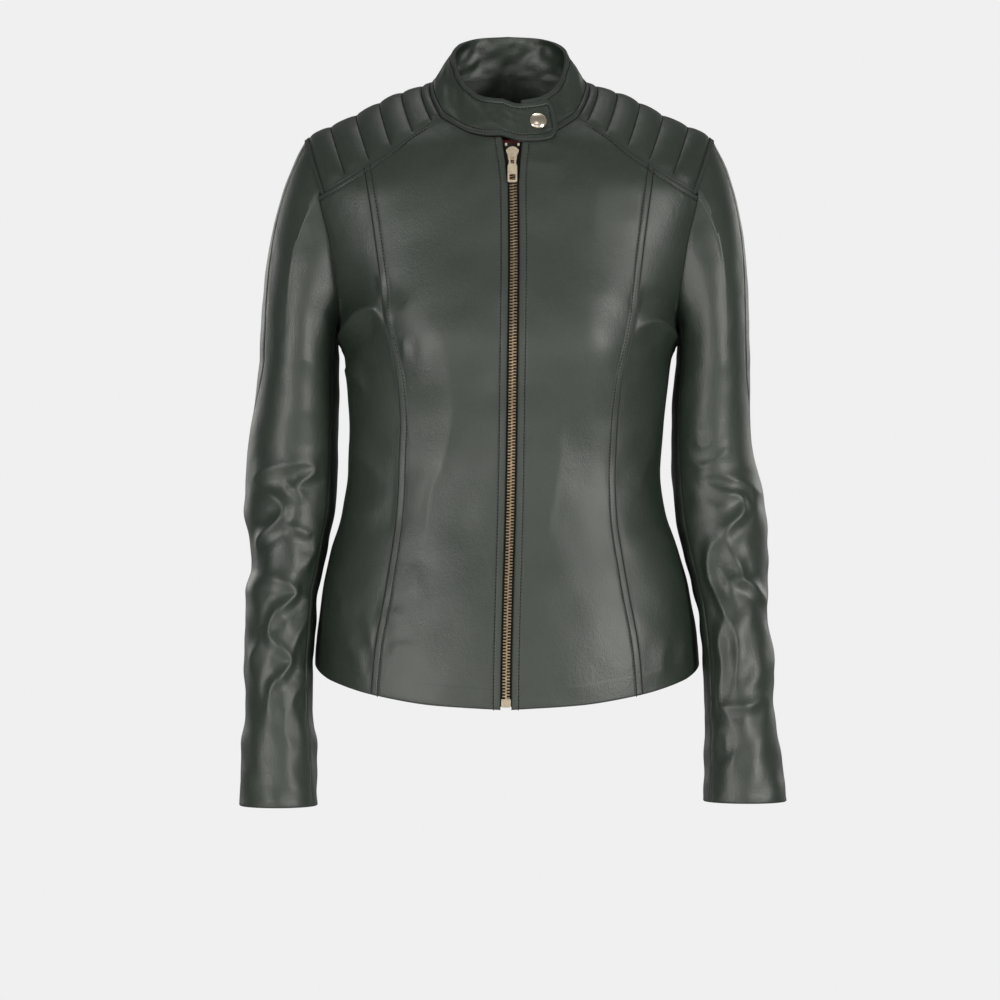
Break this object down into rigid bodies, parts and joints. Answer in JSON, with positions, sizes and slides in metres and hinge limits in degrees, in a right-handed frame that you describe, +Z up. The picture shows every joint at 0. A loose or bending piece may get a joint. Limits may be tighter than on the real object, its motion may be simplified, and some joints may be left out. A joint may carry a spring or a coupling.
{
  "type": "leather biker jacket",
  "caption": "Fitted, hip-length leather biker jacket with a stand collar and snap tab, quilted shoulders, curved bust seams and a closed front zip, shaped as worn.",
  "frame": {"origin": "midway between the tops of the shoulders, level with the neck seam at the side of the neck, where the shoulders hold the jacket up", "axes": "+Z up, -Y out of the jacket's front, +X to the jacket's own left sleeve"},
  "size_m": [0.498, 0.2326, 0.7092],
  "materials": {
    "leather": "soft semi-gloss bottle-green nappa leather, fine grain",
    "lining": "dark maroon lining",
    "zip_tape": "woven dark zip tape",
    "pale_brass": "polished pale antique brass",
    "brass_teeth": "antique brass teeth"
  },
  "bodies": {
    "jacket": {"back_left": "leather", "back_right": "leather", "collar": "leather", "front_centre_left": "leather", "front_centre_right": "leather", "front_side_left": "leather", "front_side_right": "leather", "shoulder_quilt_left": "leather", "shoulder_quilt_right": "leather", "sleeve_under_left": "leather", "sleeve_under_right": "leather", "sleeve_upper_left": "leather", "sleeve_upper_right": "leather", "snap_cap": "pale_brass", "throat_lining": "lining", "zip_box": "pale_brass", "zip_chain": "brass_teeth", "zip_slider": "pale_brass", "zip_stop_left": "pale_brass", "zip_stop_right": "pale_brass", "zip_tape_left": "zip_tape", "zip_tape_right": "zip_tape"},
    "pull": {"zip_pull": "pale_brass"}
  },
  "joints": [
    {"name": "zip_pull_swing", "type": "hinge", "parent": "jacket", "child": "pull", "pos_m": [0.00376, -0.08454, -0.0675], "axis": [-1, 0, 0], "range_deg": [0, 140]}
  ]
}
